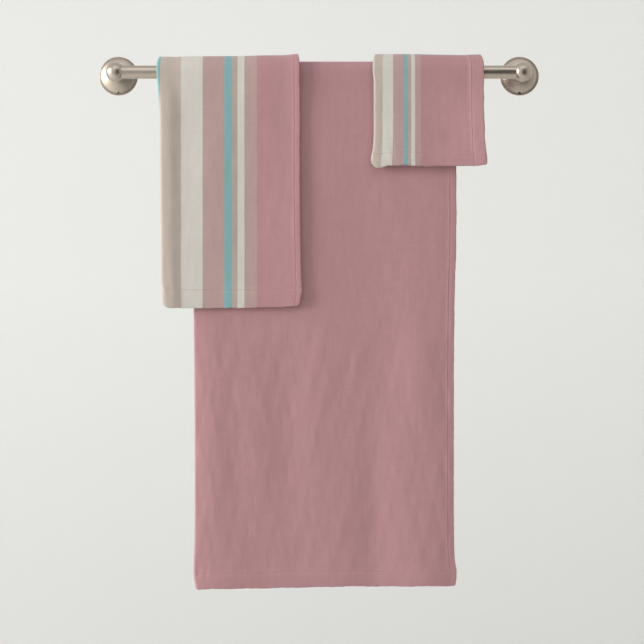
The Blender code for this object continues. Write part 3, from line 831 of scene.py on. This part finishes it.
RIM_FEET = (25.8 * MM, 27.4 * MM)  # radii of the feet of a flange's two steps, where shade is painted
LATHE_SIDES = 96  # of a turned solid
SHARP_ANGLE = math.radians(35)  # beyond which two of its faces meet in an edge

SOCKET_GAP = 0.9 * MM  # between the bar and the mouth of a ball's socket
SOCKET_CLEARANCE = 0.3 * MM  # between the bar and the socket further in
SOCKET_END = 3 * MM  # how far past the ball's middle the socket ends
BALL_STEPS = 40  # of the ball's round outline

# The neck from inside the flange towards the ball: (distance from the wall, radius), in mm
NECK_PROFILE = (
    (11.5, 0), (11.5, 6), (13.6, 6), (13.6, 10.3), (13.8, 10.5), (15, 10.5), (15.5, 10),
    (15.5, 8.8), (15.9, 8.4), (16.5, 8.1), (19, 7.8), (37, 7.6), (50, 7.8), (55, 8.1),
)
NECK_RADIUS_AT_BALL = 8.75 * MM
NECK_IN_BALL = 11 * MM  # how far from the ball's middle the neck ends, inside it


def spun_metal(name, colour, roughness, axis_x):
    """Metal turned on a lathe, about a line along Y at axis_x: fine rings, deeper near its rim, and painted
    shade at the feet of the rim's steps.
    """
    nodes = Nodes(name)
    place = nodes.object_place()
    parts = nodes.add("ShaderNodeSeparateXYZ", {0: place}).outputs
    across = nodes.math("SUBTRACT", parts[0], axis_x)
    squares = [nodes.math("POWER", distance, 2.0) for distance in (across, parts[2])]
    radius = nodes.math("SQRT", nodes.math("ADD", *squares))
    rings = nodes.noise(nodes.add("ShaderNodeCombineXYZ", {0: radius}).outputs[0], 520, 2.0, 0.6)
    rim = nodes.map(radius, from_min=21 * MM, from_max=27 * MM, to_min=0.25)
    clouds = nodes.noise(place, 60, 3.0)
    grooves = nodes.math("MULTIPLY", nodes.math("SUBTRACT", rings, 0.5), rim)
    varied = nodes.tinted(colour, clouds, 0.94, 1.06)
    varied = nodes.tinted(varied, grooves, 1.0, 2.4)
    for foot in RIM_FEET:  # painted shade: darker at the foot of each step, as a shaded recess would be
        aside = nodes.math("ABSOLUTE", nodes.math("SUBTRACT", radius, foot))
        outside_painted_shade = nodes.map(aside, from_min=0.2 * MM, from_max=0.7 * MM)
        varied = nodes.tinted(varied, outside_painted_shade, 0.62, 1.0)
    rough = nodes.math("ADD", nodes.math("MULTIPLY", clouds, 0.1), roughness - 0.05)
    return nodes.finish(varied, rough, nodes.bump(grooves, 0.8 * MM), Metallic=1.0)


def turned(name, profile, place, axis, material):
    """A closed solid turned about an axis, from (distance along it, radius) points that end on it."""
    place = Vector(place)
    along = Vector(axis)
    across = along.orthogonal().normalized()
    up = along.cross(across)
    vertices = [place + along * profile[0][0], place + along * profile[-1][0]]
    for distance, radius in profile[1:-1]:
        for side in range(LATHE_SIDES):
            angle = math.tau * side / LATHE_SIDES
            outward = math.cos(angle) * across + math.sin(angle) * up
            vertices.append(place + along * distance + radius * outward)
    faces = tube_faces(len(profile) - 2, LATHE_SIDES, first=2)
    last = len(vertices) - LATHE_SIDES
    for side in range(LATHE_SIDES):
        following = (side + 1) % LATHE_SIDES
        faces.append((0, 2 + following, 2 + side))
        faces.append((1, last + side, last + following))
    mesh = bpy.data.meshes.new(name)
    mesh.from_pydata(vertices, [], faces)
    mesh.shade_smooth()
    mesh.set_sharp_from_angle(angle=SHARP_ANGLE)
    mesh.materials.append(material)
    return add_object(name, mesh)


def add_post(side, inward, material):
    """A post's looks: the neck, and the ball with an open joint round the bar that goes into it."""
    low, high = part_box(f"{side}_post")
    ball_radius = 0.5 * (high.z - low.z)
    flange_low, flange_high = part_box(f"{side}_flange")
    axis_x = 0.5 * (flange_low.x + flange_high.x)
    centre = Vector((axis_x, low.y + ball_radius, 0.5 * (low.z + high.z)))
    bar_low, bar_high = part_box("rail_bar")
    bar_radius = 0.5 * (bar_high.z - bar_low.z)
    mouth = bar_radius + SOCKET_GAP
    socket = bar_radius + SOCKET_CLEARANCE
    whole = math.acos(-math.sqrt(ball_radius**2 - mouth**2) / ball_radius)
    profile = []
    for step in range(BALL_STEPS + 1):
        angle = whole * step / BALL_STEPS
        profile.append((-ball_radius * math.cos(angle), ball_radius * math.sin(angle)))
    depth = profile[-1][0]
    profile += [(depth - 0.5 * MM, mouth - 0.15 * MM), (depth - 4 * MM, mouth - 0.2 * MM),
                (depth - 4.2 * MM, socket), (-SOCKET_END, socket), (-SOCKET_END, 0)]
    ball = turned(f"{side}_post_ball", profile, centre, (inward, 0, 0), material)
    reach = -centre.y - NECK_IN_BALL
    neck = [(distance * MM, radius * MM) for distance, radius in NECK_PROFILE]
    neck += [(reach - 0.4 * MM, NECK_RADIUS_AT_BALL), (reach, NECK_RADIUS_AT_BALL), (reach, 0)]
    stem = turned(f"{side}_post_neck", neck, (centre.x, 0, 0), (0, -1, 0), material)
    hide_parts(f"{side}_post")
    for piece in (ball, stem):
        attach(piece, "rail")


def finish_rail():
    """The two posts' looks, and a material for each of the rail's other nodes, by its name."""
    nickel = brushed_metal("brushed_nickel_finish", NICKEL, 0.36, (900, 900, 900))
    bar = brushed_metal("brushed_nickel_bar", NICKEL, 0.31, (25, 1600, 1600))
    zinc = brushed_metal("cast_zinc", ZINC, 0.5, (300, 300, 300))
    steel = brushed_metal("screw_steel_finish", STEEL, 0.4, (500, 500, 500))
    plastic = moulded_plastic("wall_plug_plastic", PLASTIC)
    finishes = {"_bar": bar, "_bracket": zinc, "_screw": steel, "_washer": steel, "_plug": plastic}
    for side, inward in (("left", 1), ("right", -1)):
        add_post(side, inward, nickel)
        low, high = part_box(f"{side}_flange")
        finishes[f"{side}_flange"] = spun_metal(f"spun_nickel_{side}", NICKEL, 0.43,
                                                0.5 * (low.x + high.x))
    for name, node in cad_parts.items():
        for ending, finish in finishes.items():
            if name.endswith(ending) and not node.hide_render:
                node.data.materials[0] = finish


# ---- Camera, light and surroundings ---------------------------------------------------------

SENSOR_WIDTH = 36  # mm
LENS = 159.4  # mm
CAMERA_PLACE = (4.5 * MM, -4.27, -0.368)
SET_MIDDLE = (0, -0.09, -0.37)  # what the lights are turned to

STUDIO_FLOOR = -2.3  # its height
STUDIO_RADIUS = 9.0
STUDIO_BEND = 3.0  # radius of the turn from the floor up into the wall
STUDIO_TOP = 6.0  # height of the wall's upper edge
STUDIO_SIDES = 64
STUDIO_BEND_STEPS = 8

PANEL_CORNERS = ((0.03, -2.5, -1.8), (2.9, -2.5, -1.8), (2.9, -2.5, 2.6), (0.03, -2.5, 2.6))


def add_camera():
    """The camera: level, and square to the wall."""
    data = bpy.data.cameras.new("camera")
    data.sensor_width = SENSOR_WIDTH
    data.lens = LENS
    data.clip_end = 100
    camera = add_object("camera", data)
    camera.location = CAMERA_PLACE
    camera.rotation_euler = (math.radians(90), 0, 0)
    bpy.context.scene.camera = camera


def add_area_light(name, place, target, size, power, colour=(1, 1, 1)):
    """A rectangular light, turned to the target. Its size is in metres and its power in watts."""
    data = bpy.data.lights.new(name, "AREA")
    data.shape = "RECTANGLE"
    data.size, data.size_y = size
    data.energy = power
    data.color = colour
    light = add_object(name, data)
    light.location = place
    light.rotation_euler = (Vector(target) - Vector(place)).to_track_quat("-Z", "Y").to_euler()


def add_surroundings():
    """A round pale studio: a floor that turns up into a wall all round, well away from the object."""
    flat = STUDIO_RADIUS - STUDIO_BEND
    profile = [(flat, STUDIO_FLOOR)]
    for step in range(1, STUDIO_BEND_STEPS + 1):
        angle = 0.5 * math.pi * step / STUDIO_BEND_STEPS
        profile.append((flat + STUDIO_BEND * math.sin(angle),
                        STUDIO_FLOOR + STUDIO_BEND * (1 - math.cos(angle))))
    profile.append((STUDIO_RADIUS, STUDIO_TOP))
    vertices = []
    for distance, height in profile:
        for side in range(STUDIO_SIDES):
            turn = math.tau * side / STUDIO_SIDES
            vertices.append((distance * math.cos(turn), distance * math.sin(turn), height))
    faces = [quad[::-1] for quad in tube_faces(len(profile), STUDIO_SIDES)]
    centre = len(vertices)
    vertices.append((0, 0, STUDIO_FLOOR))
    for side in range(STUDIO_SIDES):
        faces.append((side, (side + 1) % STUDIO_SIDES, centre))
    mesh = bpy.data.meshes.new("studio")
    mesh.from_pydata(vertices, [], faces)
    mesh.shade_smooth()
    studio = add_object("studio", mesh)
    nodes = Nodes("studio_paint_painted_shade")
    parts = nodes.add("ShaderNodeSeparateXYZ", {0: nodes.object_place()})
    # Painted shade: the studio grows darker downwards, from 0.2 m to 2.2 m below the bar, and the floor is
    # darker all over.
    height = nodes.map(parts.outputs[2], from_min=-2.2, from_max=-0.2)
    shaded_paint = nodes.tinted(STUDIO, height, 0.86, 1.0)
    mesh.materials.append(nodes.finish(shaded_paint, 0.9))


def add_world(strength):
    """An even, slightly warm light from all round."""
    world = bpy.data.worlds.new("world")
    bpy.context.scene.world = world
    world.use_nodes = True
    background = world.node_tree.nodes["Background"]
    background.inputs["Color"].default_value = (1.0, 0.995, 0.99, 1)
    background.inputs["Strength"].default_value = strength


def add_panel():
    """A dark panel that only the polished metal mirrors, as it would the shaded end of a room."""
    mesh = bpy.data.meshes.new("dark_panel")
    mesh.from_pydata(PANEL_CORNERS, [], [(0, 1, 2, 3)])
    panel = add_object("dark_panel", mesh)
    panel.visible_camera = panel.visible_diffuse = panel.visible_shadow = False
    mesh.materials.append(Nodes("black_velvet").finish(BLACK, 0.9))


def add_lighting():
    """A window at the left, a weak ceiling light, and one on the studio's wall behind the set."""
    add_world(0.6)
    add_area_light("window", (-5.6, -1.7, 0.75), SET_MIDDLE, (2.8, 3.1), 380, (1.0, 0.99, 0.975))
    add_area_light("ceiling", (0.4, -2.8, 3.2), SET_MIDDLE, (4, 2.6), 28)
    add_area_light("backdrop_light", (-2.7, 2.8, 0.4), (-1.2, 9, 1.8), (2, 2), 108)
    bpy.context.scene.view_settings.view_transform = "Standard"


add_camera()
add_surroundings()
add_panel()
add_lighting()
add_towels()
finish_rail()
